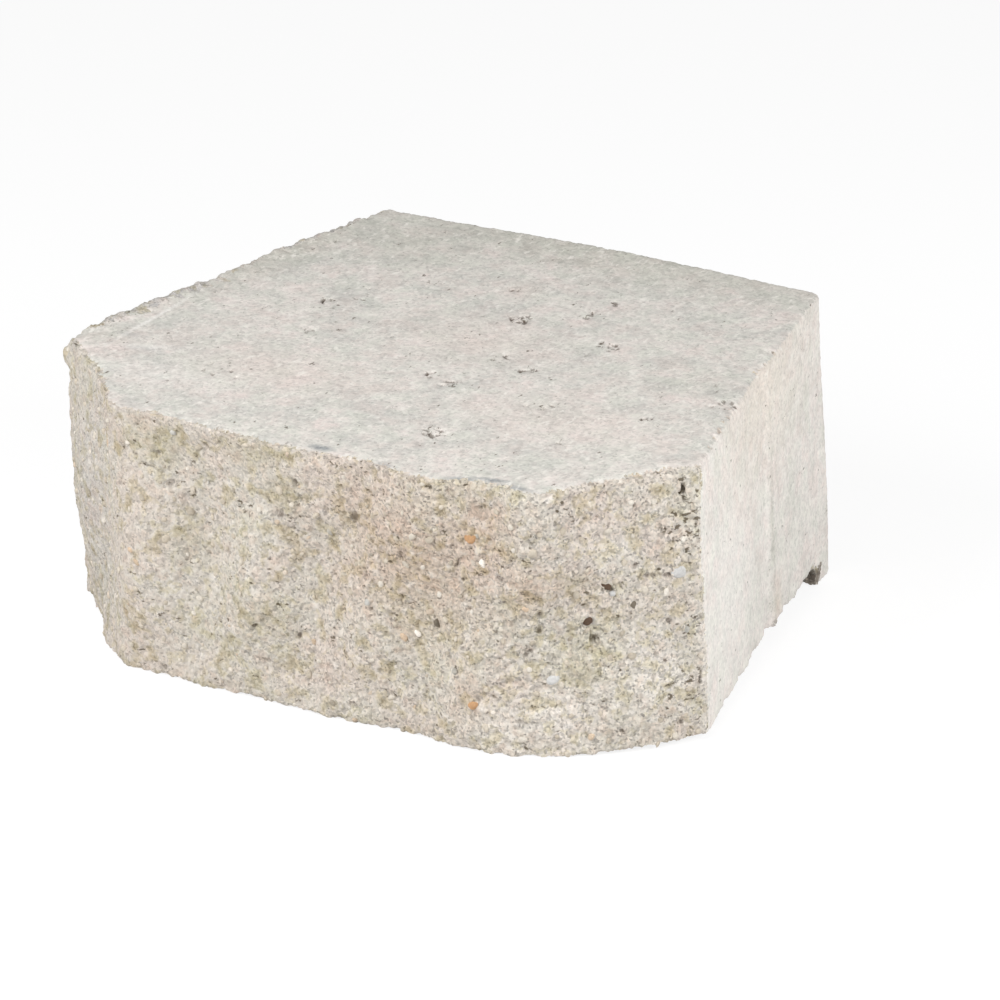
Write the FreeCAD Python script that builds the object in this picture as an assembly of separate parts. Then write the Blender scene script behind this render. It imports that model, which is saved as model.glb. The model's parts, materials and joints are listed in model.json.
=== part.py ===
"""Retaining wall block: one solid unit of dry-cast concrete with a split front and a rear lip.

The block is drawn in its working position first: X across the wall, Y from the front to the
back, Z up from the base that beds on the course below. The lip hangs under the back of the base
and hooks behind that course. On a level floor the block leans forward on its lip, so the last
step turns it to that stance and puts the origin on the floor, under the middle of its box.
"""

import FreeCAD
import Part
import math
import os

from FreeCAD import Vector

# Overall size, in millimetres
face_width = 266.0
block_depth = 203.0
block_height = 102.0

# Split front: a middle facet that reaches to a joint on each side, and two facets that turn back
left_joint = 82.0
right_joint = 91.0
joint_blend = 6.0
bevel_depth = 48.0

# Side walls: a tapered cheek behind the face, the seam of the mould, then a tail that stands proud
seam_depth = 133.0
seam_width = 217.0
seam_step = 1.2
seam_run = 4.0
tail_width = 186.0
tail_corner_radius = 4.0
top_arris_radius = 1.5

# Rear lip under the base
lip_drop = 8.5
lip_root_thickness = 17.0
lip_tip_thickness = 15.0
lip_root_radius = 2.5

# Hollows and swells that the splitter leaves, as waves across the face:
# height, length, heading from the block's width and start of the wave, in millimetres and degrees
split_waves = (
    (1.0, 110.0, 64.0, 354.0),
    (1.5, 80.0, 74.0, 144.0),
    (1.0, 62.0, 7.0, 310.0),
    (1.4, 49.0, -13.0, 154.0),
    (1.0, 43.0, 13.0, 11.0),
    (0.9, 42.0, -28.0, 241.0),
)
split_grid_step = 8.0
least_grid_steps = 4

# How far the cutting tools run past the block
overrun = 30.0

# How far apart two places may be and still count as the same
same_place = 1e-6


def bevel_hinge(distance):
    """How far a facet has turned back, a given distance past its joint, for a slope of one."""
    return (distance + math.hypot(distance, joint_blend)) / 2.0


def split_depth(x, z):
    """Y of the split face at one point of the front."""
    joint = right_joint if x > 0.0 else left_joint
    bevel_slope = bevel_depth / bevel_hinge(face_width / 2.0 - joint)
    depth = bevel_slope * bevel_hinge(abs(x) - joint)
    for height, length, heading, start in split_waves:
        along = x * math.cos(math.radians(heading)) + z * math.sin(math.radians(heading))
        depth += height * math.sin(2.0 * math.pi * along / length + math.radians(start))
    return depth


def grid_values(low, high):
    """Evenly spaced values from low to high, about one grid step apart."""
    count = max(least_grid_steps, round((high - low) / split_grid_step))
    return [low + (high - low) * step / count for step in range(count + 1)]


def plan_points():
    """Plan outline of the mould, run forward past the split face."""
    cheek_slope = (face_width - seam_width) / 2.0 / (seam_depth - bevel_depth)
    front_half = face_width / 2.0 + (bevel_depth + overrun) * cheek_slope
    right = [
        Vector(front_half, -overrun, 0),
        Vector(seam_width / 2.0, seam_depth, 0),
        Vector(seam_width / 2.0 - cheek_slope * seam_run + seam_step, seam_depth + seam_run, 0),
        Vector(tail_width / 2.0, block_depth, 0),
    ]
    left = [Vector(-point.x, point.y, 0) for point in reversed(right)]
    return right + left


def is_tail_corner(edge):
    """True for the two upright edges at the back."""
    ends = [vertex.Point for vertex in edge.Vertexes]
    upright = abs(ends[0].z - ends[-1].z) > block_height / 2.0
    return upright and all(point.y > (seam_depth + block_depth) / 2.0 for point in ends)


def is_top_side_edge(edge):
    """True for the top edges of the moulded side and back walls."""
    on_top = all(abs(vertex.Z - block_height) < same_place for vertex in edge.Vertexes)
    return on_top and edge.CenterOfMass.y > -overrun / 2.0


def moulded_body():
    """The mould's inside as one solid, from the lip's tip to the top bed."""
    points = plan_points()
    outline = Part.Face(Part.makePolygon(points + points[:1]))
    outline.translate(Vector(0, 0, -lip_drop))
    body = outline.extrude(Vector(0, 0, block_height + lip_drop))
    body = body.makeFillet(tail_corner_radius, [e for e in body.Edges if is_tail_corner(e)])
    return body.makeFillet(top_arris_radius, [e for e in body.Edges if is_top_side_edge(e)])


def seat_cutter():
    """The space under the base, in front of the lip."""
    lip_slope = (lip_root_thickness - lip_tip_thickness) / lip_drop
    below = lip_drop + overrun
    root_y = block_depth - lip_root_thickness
    points = [
        Vector(-face_width, -2.0 * overrun, 0),
        Vector(-face_width, root_y, 0),
        Vector(-face_width, root_y + lip_slope * below, -below),
        Vector(-face_width, -2.0 * overrun, -below),
    ]
    profile = Part.Face(Part.makePolygon(points + points[:1]))
    cutter = profile.extrude(Vector(2.0 * face_width, 0, 0))
    root = Vector(0, root_y, 0)
    root_edges = [e for e in cutter.Edges if e.CenterOfMass.distanceToPoint(root) < same_place]
    return cutter.makeFillet(lip_root_radius, root_edges)


def split_cutter():
    """Everything in front of the split face."""
    half = face_width / 2.0 + overrun
    rows = []
    for x in grid_values(-half, half):
        rows.append([Vector(x, split_depth(x, z), z) for z in grid_values(-overrun, block_height + overrun)])
    surface = Part.BSplineSurface()
    surface.interpolate(rows)
    return surface.toShape().extrude(Vector(0, -(block_depth + overrun), 0))


def standing_on_floor(block):
    """The block leaning on its lip, as it stands unheld on a level floor."""
    front_edge = min(split_depth(x, 0) for x in grid_values(-left_joint, right_joint))
    lip_edge = block_depth - lip_tip_thickness
    lean = math.degrees(math.atan2(lip_drop, lip_edge - front_edge))
    block.rotate(Vector(0, 0, 0), Vector(1, 0, 0), lean)
    box = block.optimalBoundingBox(True)
    block.translate(Vector(-box.Center.x, -box.Center.y, -box.ZMin))
    return lean


def main():
    block = moulded_body().cut(seat_cutter()).cut(split_cutter())
    block = block.Solids[0]
    lean = standing_on_floor(block)
    os.makedirs("parts", exist_ok=True)
    block.exportStep("parts/concrete_block.step")
    box = block.optimalBoundingBox(True)
    print("lean", round(lean, 3), "valid", block.isValid(), "litres", round(block.Volume / 1e6, 4))
    print("box", [round(value, 2) for value in (box.XMin, box.YMin, box.ZMin, box.XMax, box.YMax, box.ZMax)])


main()
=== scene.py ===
"""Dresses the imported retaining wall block: dry-cast concrete with a split front, under studio light.

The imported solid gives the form. A fine skin is cast over it, broken places are cut into that skin,
and a node tree gives the split front its crumbled relief and wears the arrises. Stones show where
the split laid them bare. Places on the block are given in the drawing's frame, in millimetres: X
along the wall, Y from the front to the back and Z up from the bed, before the block leans forward
on its lip.
"""

import json
import logging
import math
from dataclasses import dataclass, field
from enum import Enum
from functools import partial

import bmesh
import bpy
import numpy as np
from mathutils import Matrix, Vector, noise
from mathutils.bvhtree import BVHTree


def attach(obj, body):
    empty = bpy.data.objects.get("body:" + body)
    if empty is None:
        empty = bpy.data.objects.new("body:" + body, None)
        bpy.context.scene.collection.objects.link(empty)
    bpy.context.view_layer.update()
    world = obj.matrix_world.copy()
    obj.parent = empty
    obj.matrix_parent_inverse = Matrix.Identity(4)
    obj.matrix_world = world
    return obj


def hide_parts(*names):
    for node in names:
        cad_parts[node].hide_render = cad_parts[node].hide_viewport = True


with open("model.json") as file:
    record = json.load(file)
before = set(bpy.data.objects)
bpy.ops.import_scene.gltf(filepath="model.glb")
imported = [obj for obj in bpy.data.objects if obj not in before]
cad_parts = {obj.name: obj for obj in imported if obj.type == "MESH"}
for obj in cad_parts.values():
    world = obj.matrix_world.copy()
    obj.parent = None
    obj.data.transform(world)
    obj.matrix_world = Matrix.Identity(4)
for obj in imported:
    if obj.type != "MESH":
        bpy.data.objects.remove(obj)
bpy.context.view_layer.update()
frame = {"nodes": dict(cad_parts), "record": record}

LOG = logging.getLogger("retaining_wall_block")
MM = 0.001
BLOCK_NODE = "concrete_block"
BLOCK_BODY = "root"

# The drawn block, in millimetres: its size, the joint of its right facet, and the top arris of a
# side wall as the half width at the start of a stretch, where that starts and how it tapers
BLOCK_DEPTH = 203.0
BLOCK_HEIGHT = 102.0
RIGHT_JOINT = 91.0
SEAM_Y = 135.0
CHEEK_ARRIS = (133.0, 48.0, 0.288)
TAIL_ARRIS = (108.55, 137.0, 0.2356)

# Which way the middle of the split front and its right facet look
FRONT_WAY = (0.0, -1.0, 0.0)
FACET_WAY = (0.72, -0.69, 0.0)

# Blender's names for the nodes that are used most
MATH = "ShaderNodeMath"
VECTOR_MATH = "ShaderNodeVectorMath"
RANGE = "ShaderNodeMapRange"
MIX = "ShaderNodeMix"
NOISE = "ShaderNodeTexNoise"
ATTRIBUTE = "ShaderNodeAttribute"
NAMED = "GeometryNodeInputNamedAttribute"
RANDOM = "FunctionNodeRandomValue"

# Where the frays of a mark end, and how far out tints and crowds of pores have their full strength,
# all as shares of the mark's half size; then a pore's soft edge and the colour of painted shade and dirt
SPOT_EDGE = 1.5
TINT_CORE = 0.55
CROWD_CORE = 0.95
PORE_EDGE = 0.06
SHADE_AND_DIRT_COLOUR = "#574a3f"

Place = tuple[float, float, float]
Tree = bpy.types.NodeTree
Socket = bpy.types.NodeSocket
Finish = bpy.types.Material


def linear(hex_colour: str) -> tuple[float, float, float, float]:
    """Turns an sRGB hex colour into linear values.

    Args:
        hex_colour: The colour as "#rrggbb".

    Returns:
        Red, green, blue and an alpha of one.
    """
    parts = [int(hex_colour[i : i + 2], 16) / 255.0 for i in (1, 3, 5)]
    values = [c / 12.92 if c <= 0.04045 else ((c + 0.055) / 1.055) ** 2.4 for c in parts]
    return (values[0], values[1], values[2], 1.0)


def add_node(
    tree: Tree,
    kind: str,
    inputs: dict[int | str, object] | None = None,
    output: int | str = 0,
    **settings: object,
) -> Socket | None:
    """Adds one node to a tree, with its settings and inputs.

    Args:
        tree: The shader or geometry tree.
        kind: Blender's name for the node.
        inputs: Input name or number, to a socket that feeds it or to a plain value.
        output: Name or number of the output that is wanted.
        settings: Attributes of the node.

    Returns:
        The output wanted, or nothing where the node has no outputs.
    """
    node = tree.nodes.new(kind)
    for name, value in settings.items():
        setattr(node, name, value)
    for key, value in (inputs or {}).items():
        if isinstance(value, Socket):
            tree.links.new(value, node.inputs[key])
        else:
            node.inputs[key].default_value = value
    return node.outputs[output] if len(node.outputs) else None


def fill_ramp(ramp: Socket, stops: list[tuple[float, str]]) -> None:
    """Sets a colour ramp's stops.

    Args:
        ramp: The colour output of the ramp's node.
        stops: Position from 0 to 1 and sRGB colour of each stop, in order.
    """
    elements = ramp.node.color_ramp.elements
    while len(elements) < len(stops):
        elements.new(1.0)
    for element, (position, colour) in zip(elements, stops):
        element.position = position
        element.color = linear(colour)


def settle_modifiers(obj: bpy.types.Object) -> None:
    """Works an object's modifiers into a plain mesh and removes them."""
    graph = bpy.context.evaluated_depsgraph_get()
    mesh = bpy.data.meshes.new_from_object(obj.evaluated_get(graph), depsgraph=graph)
    old = obj.data
    mesh.name = old.name
    obj.modifiers.clear()
    obj.data = mesh
    bpy.data.meshes.remove(old)


def set_inputs(modifier: bpy.types.NodesModifier, values: dict[str, object]) -> None:
    """Sets a node modifier's inputs.

    Args:
        modifier: The modifier, with its tree already on it.
        values: Input name to value.
    """
    sockets = {
        item.name: item.identifier
        for item in modifier.node_group.interface.items_tree
        if item.item_type == "SOCKET" and item.in_out == "INPUT"
    }
    for name, value in values.items():
        modifier[sockets[name]] = value


def new_tree(name: str, inputs: dict[str, str]) -> Tree:
    """Starts a geometry tree with a mesh in, a mesh out and named inputs.

    Args:
        name: The tree's name.
        inputs: Input name to the last word of its socket type.

    Returns:
        The tree, still without nodes.
    """
    tree = bpy.data.node_groups.new(name, "GeometryNodeTree")
    for way in ("INPUT", "OUTPUT"):
        tree.interface.new_socket("Geometry", in_out=way, socket_type="NodeSocketGeometry")
    for label, kind in inputs.items():
        tree.interface.new_socket(label, in_out="INPUT", socket_type=f"NodeSocket{kind}")
    return tree


def triangle_count(mesh: bpy.types.Mesh) -> int:
    """How many triangles a mesh's faces make."""
    return sum(len(polygon.vertices) - 2 for polygon in mesh.polygons)


@dataclass(frozen=True)
class Stance:
    """How the drawn block stands on the floor: its lean and the place of the drawing's origin."""

    lean: float
    shift: Vector
    turn: Matrix

    @classmethod
    def from_record(cls, record: dict, depth_mm: float) -> "Stance":
        """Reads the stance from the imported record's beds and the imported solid.

        Args:
            record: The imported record.
            depth_mm: The drawn depth of the block, from the front to the back wall.

        Returns:
            The stance.
        """
        mounts = {mount["name"]: mount for mount in record["mounts"]}
        axis = Vector(mounts["top_bed"]["axis"])
        lean = math.atan2(-axis.y, axis.z)
        turn = Matrix.Rotation(lean, 3, "X")
        base = turn.transposed() @ Vector(mounts["base_bed"]["pos_m"])
        points = [turn.transposed() @ v.co for v in frame["nodes"][BLOCK_NODE].data.vertices]
        back = max(point.y for point in points)
        return cls(lean, turn @ Vector((0.0, back - depth_mm * MM, base.z)), turn)

    def to_floor(self, place: Place) -> Vector:
        """The place in metres, in the row frame, of a drawn place in millimetres."""
        return self.turn @ (Vector(place) * MM) + self.shift


class Stone(Enum):
    """Colours of the stones in the mix."""

    ORANGE = "#c69b72"
    TAN = "#d8c0a6"
    BROWN = "#584434"
    SLATE = "#736a5c"
    BLUE_GREY = "#d0cfcd"
    WHITE = "#fdf6ec"


class Tint(Enum):
    """Colours of the marks on the concrete."""

    CHALK = "#efece7"
    SMEAR = "#989b9c"
    GREEN_GREY = "#b5b4a8"
    PINK = "#ded1c9"
    WARM = "#e0d5c8"
    CLAY = "#c9b29e"
    OLIVE = "#b8af95"
    PALE = "#eae4db"
    # Painted shade in open pores
    PIT_SHADE = "#6f675c"
    GREY = "#c9c6c2"


class Rim(Enum):
    """How a broken or swollen place runs out into the face: the power of its bowl."""

    BROKEN = 0.8
    SOFT = 2.0


@dataclass(frozen=True)
class Touch:
    """A local change to the cast form: a rise above nothing swells it, one below breaks it away.

    The place can be darkened with painted shade, as falls in hollows and under the block, and with some dirt,
    and a torn place shows split concrete.
    """

    place: Place
    reach: tuple[float, float]
    rise: float
    turn: float = 0.0
    stain: float = 0.0
    torn: float = 0.0
    rim: Rim = Rim.BROKEN


def arris_x(y: float) -> float:
    """How far from the middle the top arris of a side wall is, a given way back from the front."""
    half, start, taper = CHEEK_ARRIS if y < SEAM_Y else TAIL_ARRIS
    return half - taper * (y - start)


@dataclass(frozen=True)
class RaggedArris:
    """Bites and crumbs scattered along a stretch of a top arris, from the front to the back."""

    side: float
    stretch: tuple[float, float]
    count: int
    inward: tuple[float, float]
    reach: tuple[float, float]
    rise: tuple[float, float]
    torn: tuple[float, float]
    seed: int
    level: float = 102.3

    def touches(self) -> tuple[Touch, ...]:
        """Draws the bites and crumbs from their ranges, in the seed's random order."""
        chance = np.random.default_rng(self.seed)
        made = []
        for y in np.sort(chance.uniform(*self.stretch, self.count)):
            x = self.side * (arris_x(y) - chance.uniform(*self.inward))
            reach = tuple(chance.uniform(*self.reach, 2))
            rise, torn = chance.uniform(*self.rise), chance.uniform(*self.torn)
            made.append(Touch((x, y, self.level), reach, rise, torn=torn))
        return tuple(made)


@dataclass(frozen=True)
class PoreCrowd:
    """A crowd of small open pores in the top, round one place, darkened with painted shade and some dirt."""

    place: tuple[float, float]
    half: tuple[float, float]
    count: int
    length: tuple[float, float] = (0.9, 2.0)
    width: tuple[float, float] = (0.8, 1.1)
    rise: float = -0.8
    turn: tuple[float, float] = (-90.0, 0.0)
    stain: tuple[float, float] = (0.6, 1.0)

    def touches(self) -> tuple[Touch, ...]:
        """Draws the pores, in a random order that depends on the place."""
        chance = np.random.default_rng(int(1000 + 10 * abs(self.place[0]) + self.place[1]))
        made = []
        for _ in range(self.count):
            away, angle = math.sqrt(chance.uniform()), chance.uniform(0.0, math.tau)
            x = self.place[0] + self.half[0] * away * math.cos(angle)
            y = self.place[1] + self.half[1] * away * math.sin(angle)
            reach = (chance.uniform(*self.length), chance.uniform(*self.width))
            turn, stain = chance.uniform(*self.turn), chance.uniform(*self.stain)
            made.append(Touch((x, y, BLOCK_HEIGHT), reach, self.rise, turn, stain))
        return tuple(made)


@dataclass(frozen=True)
class BareStone:
    """A stone that the split laid bare, with its half sizes along, across and out of the face."""

    place: Place
    half: tuple[float, float, float]
    colour: Stone
    turn: float = 0.0


@dataclass(frozen=True)
class Mark:
    """A mark in a face's colour: where it is, its half sizes, its tint and how strong it is."""

    place: Place
    half: tuple[float, float, float]
    tint: Tint = Tint.PIT_SHADE
    strength: float = 1.0
    turn: float = 0.0


def new_material(name: str) -> tuple[Finish, Tree]:
    """Starts a material and gives it with its empty node tree."""
    material = bpy.data.materials.new(name)
    material.use_nodes = True
    material.node_tree.nodes.clear()
    return material, material.node_tree


def end_material(tree: Tree, height: Socket, bump: tuple[float, float], surface: dict[str, object]) -> None:
    """Ends a material with a bumped shader.

    Args:
        tree: The material's tree.
        height: The height of the bumps.
        bump: The strength of the bumps and their depth in millimetres.
        surface: Input name to value of the shader's other inputs.
    """
    strength, depth = bump
    normal = add_node(
        tree, "ShaderNodeBump", {"Height": height, "Strength": strength, "Distance": depth * MM}
    )
    shader = add_node(tree, "ShaderNodeBsdfPrincipled", surface | {"Normal": normal})
    add_node(tree, "ShaderNodeOutputMaterial", {"Surface": shader})


def spot_mask(
    tree: Tree, place: Socket, marks: tuple[Mark, ...], stance: Stance, fray_mm: float, core: float
) -> Socket:
    """A mask with an uneven spot at each mark.

    Args:
        tree: The material's tree.
        place: The coordinates.
        marks: The marks, at least one.
        stance: Where the drawn places of the marks stand.
        fray_mm: Size of the frays at the edge of a spot.
        core: How far out a spot has its full strength, less than SPOT_EDGE.

    Returns:
        The strength of the strongest mark at each point.
    """
    add = partial(add_node, tree)
    fray = add(NOISE, {"Vector": place, "Scale": 1.0 / (fray_mm * MM), "Detail": 4.0, "Roughness": 0.65})
    mask = None
    for mark in marks:
        near = add(
            "ShaderNodeMapping",
            {
                "Vector": place, "Location": stance.to_floor(mark.place),
                "Rotation": (stance.lean, 0.0, math.radians(mark.turn)),
                "Scale": [half * MM for half in mark.half],
            },
            vector_type="TEXTURE",
        )
        away = add(VECTOR_MATH, {0: near}, "Value", operation="LENGTH")
        away = add(MATH, {0: away, 1: fray}, operation="ADD")
        spot = add(RANGE, {"Value": away, "From Min": SPOT_EDGE, "From Max": core, "To Max": mark.strength})
        mask = add(MATH, {0: mask, 1: spot}, operation="MAXIMUM") if mask else spot
    return mask


def lay_tints(
    tree: Tree, place: Socket, colour: Socket, marks: tuple[Mark, ...], stance: Stance, fray_mm: float
) -> Socket:
    """Lays the tinted marks over a colour, one tint after another.

    Args:
        tree: The material's tree.
        place: The coordinates.
        colour: The colour under the marks.
        marks: The marks.
        stance: Where the drawn places of the marks stand.
        fray_mm: Size of the frays at the edge of a mark.

    Returns:
        The colour with the marks on it.
    """
    for tint in Tint:
        chosen = tuple(mark for mark in marks if mark.tint is tint)
        if chosen:
            mask = spot_mask(tree, place, chosen, stance, fray_mm, TINT_CORE)
            layers = {0: mask, 6: colour, 7: linear(tint.value)}
            colour = add_node(tree, MIX, layers, 2, data_type="RGBA")
    return colour


def lay_where(
    tree: Tree,
    colour: Socket,
    value: Socket,
    span: tuple[float | Socket, float | Socket],
    most: float | Socket,
    paint: str | Socket,
) -> Socket:
    """Lays a paint over a colour where a value nears the end of a span.

    Args:
        tree: The material's tree.
        colour: The colour under the paint.
        value: The value that says where the paint goes.
        span: The value where there is no paint, and the value where there is the most.
        most: The most paint, from 0 to 1.
        paint: The paint, as an sRGB colour or from a socket.

    Returns:
        The colour with the paint on it.
    """
    mask = add_node(tree, RANGE, {"Value": value, "From Min": span[0], "From Max": span[1], "To Max": most})
    layers = {0: mask, 6: colour, 7: linear(paint) if isinstance(paint, str) else paint}
    return add_node(tree, MIX, layers, 2, data_type="RGBA")


def lay_shade_and_dirt(tree: Tree, colour: Socket, grit: Socket) -> Socket:
    """Darkens the broken places and hollows with painted shade and some dirt, which break up in the grit.

    Args:
        tree: The material's tree.
        colour: The colour under the stain.
        grit: The noise of the grit, about one half.

    Returns:
        The colour with the painted shade and dirt in it.
    """
    add = partial(add_node, tree)
    stain = add(ATTRIBUTE, output="Fac", attribute_name="stain")
    swing = add(RANGE, {"Value": grit, "From Min": 0.3, "From Max": 0.7, "To Max": 2.0})
    ragged = add(MATH, {0: stain, 1: swing}, operation="MULTIPLY")
    most = add(RANGE, {"Value": stain, "To Min": 0.1, "To Max": 1.0})
    return lay_where(tree, colour, ragged, (0.15, 0.5), most, SHADE_AND_DIRT_COLOUR)


@dataclass(frozen=True)
class SplitFinish:
    """Split dry-cast concrete: torn paste and sand grains give a crumbled, warm, quite matt face."""

    tints: tuple[Mark, ...]
    pits: tuple[Mark, ...]
    patches: tuple[str, ...] = ("#d2ccbc", "#d7d1c6", "#d8cfc4", "#d9cdc2")
    patch_mm: float = 32.0
    fray_mm: float = 9.0
    hues: tuple[str, ...] = ("#dad4bf", "#f6f4ea", "#fdfdff", "#fdfcfc", "#fdf7f5")
    hue_mm: float = 6.0
    stones: tuple[tuple[float, str], ...] = (
        (0.0, "#b3aa9a"), (0.12, "#c9bfb0"), (0.3, "#d9cec0"), (0.55, "#dccdbc"),
        (0.7, "#e4dcd1"), (0.86, "#f5f0e9"), (0.95, "#d4bfa9"), (1.0, "#c6c6c4"),
    )
    grain_mm: float = 3.8
    sand_mm: float = 0.8
    fleck_mm: float = 2.0
    fleck_scale: Place = (0.6, 0.75, 1.0)
    crowd_mm: float = 14.0
    grit_mm: float = 1.4
    bump: tuple[float, float] = (0.9, 0.9)
    roughness: float = 0.94
    specular: float = 0.2

    def material(self, stance: Stance) -> Finish:
        """Builds the material.

        Args:
            stance: Where the drawn places of the marks stand.

        Returns:
            A material that reads the relief, the coarseness and the painted shade and dirt stored on the
            block.
        """
        material, tree = new_material("dry_cast_concrete_split")
        add = partial(add_node, tree)
        place = add(ATTRIBUTE, output="Vector", attribute_name="rest")
        # The split grows coarser from the left to the right
        coarse, relief = (
            add(ATTRIBUTE, output="Fac", attribute_name=name) for name in ("coarse", "relief")
        )
        drawn = add("ShaderNodeMapping", {"Vector": place, "Scale": self.fleck_scale})
        patch, hue, crowd, fleck, grit = (
            add(NOISE, {"Vector": vector, "Scale": 1.0 / (size * MM), "Detail": detail, "Roughness": rough})
            for vector, size, detail, rough in (
                (place, self.patch_mm, 4.0, 0.65),
                (place, self.hue_mm, 3.0, 0.6),
                (place, self.crowd_mm, 3.0, 0.6),
                (drawn, self.fleck_mm, 3.0, 0.6),
                (place, self.grit_mm, 4.0, 0.75),
            )
        )
        grain, sand = (
            add("ShaderNodeTexVoronoi", {"Vector": place, "Scale": 1.0 / (size * MM)})
            for size in (self.grain_mm, self.sand_mm)
        )
        # Patches of slightly different mix, a few centimetres wide, under the tinted marks
        colour = add("ShaderNodeValToRGB", {"Fac": patch})
        fill_ramp(colour, list(zip((0.34, 0.46, 0.56, 0.66), self.patches)))
        colour = lay_tints(tree, place, colour, self.tints, stance, self.fray_mm)
        # Small stones, each with its own tone, that sit in the relief's own grains
        tone = add("ShaderNodeSeparateColor", {"Color": grain.node.outputs["Color"]}, "Green")
        stone = add("ShaderNodeValToRGB", {"Fac": tone})
        fill_ramp(stone, list(self.stones))
        colour = lay_where(tree, colour, grain, (0.55, 0.25), 0.4, stone)
        # Sand, of which most grains are much alike and a few are dark, and small clouds of hue
        tone = add("ShaderNodeSeparateColor", {"Color": sand.node.outputs["Color"]}, "Red")
        tone = add(MATH, {0: tone, 1: 0.5}, operation="POWER")
        dark = add(RANGE, {"Value": coarse, "To Min": 0.62, "To Max": 0.45})
        light = add(RANGE, {"Value": coarse, "To Min": 1.1, "To Max": 1.22})
        tone = add(RANGE, {"Value": tone, "To Min": dark, "To Max": light})
        cloud = add("ShaderNodeValToRGB", {"Fac": hue})
        fill_ramp(cloud, list(zip((0.28, 0.42, 0.5, 0.57, 0.66), self.hues)))
        for layer in (tone, cloud):
            colour = add(MIX, {0: 1.0, 6: colour, 7: layer}, 2, data_type="RGBA", blend_type="MULTIPLY")
        # Open pores and flat slits, painted dark as the shade in them, come in crowds, with pale crumbs
        # between them
        limit = add(
            RANGE, {"Value": crowd, "From Min": 0.35, "From Max": 0.65, "To Min": 0.72, "To Max": 0.6}
        )
        pitted = spot_mask(tree, place, self.pits, stance, self.fray_mm, CROWD_CORE)
        limit = add(RANGE, {"Value": pitted, "To Min": limit, "To Max": 0.57})
        full = add(MATH, {0: limit, 1: PORE_EDGE}, operation="ADD")
        # Painted shade in pores and pockets (some dust too), pale crumbs, and a painted highlight and dust on
        # proud grains
        for value, span, most, paint in (
            (fleck, (limit, full), 0.9, "#625847"),
            (fleck, (0.42, 0.3), 0.4, "#f3ede2"),
            (relief, (-0.6, -1.5), 0.8, "#6f6552"),
            (relief, (0.4, 1.2), 0.4, "#efe8dc"),
        ):
            colour = lay_where(tree, colour, value, span, most, paint)
        # Painted shade, with some dirt, in the broken places
        colour = lay_shade_and_dirt(tree, colour, grit)
        surface = {"Base Color": colour, "Roughness": self.roughness, "Specular IOR Level": self.specular}
        end_material(tree, grit, self.bump, surface)
        return material


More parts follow.
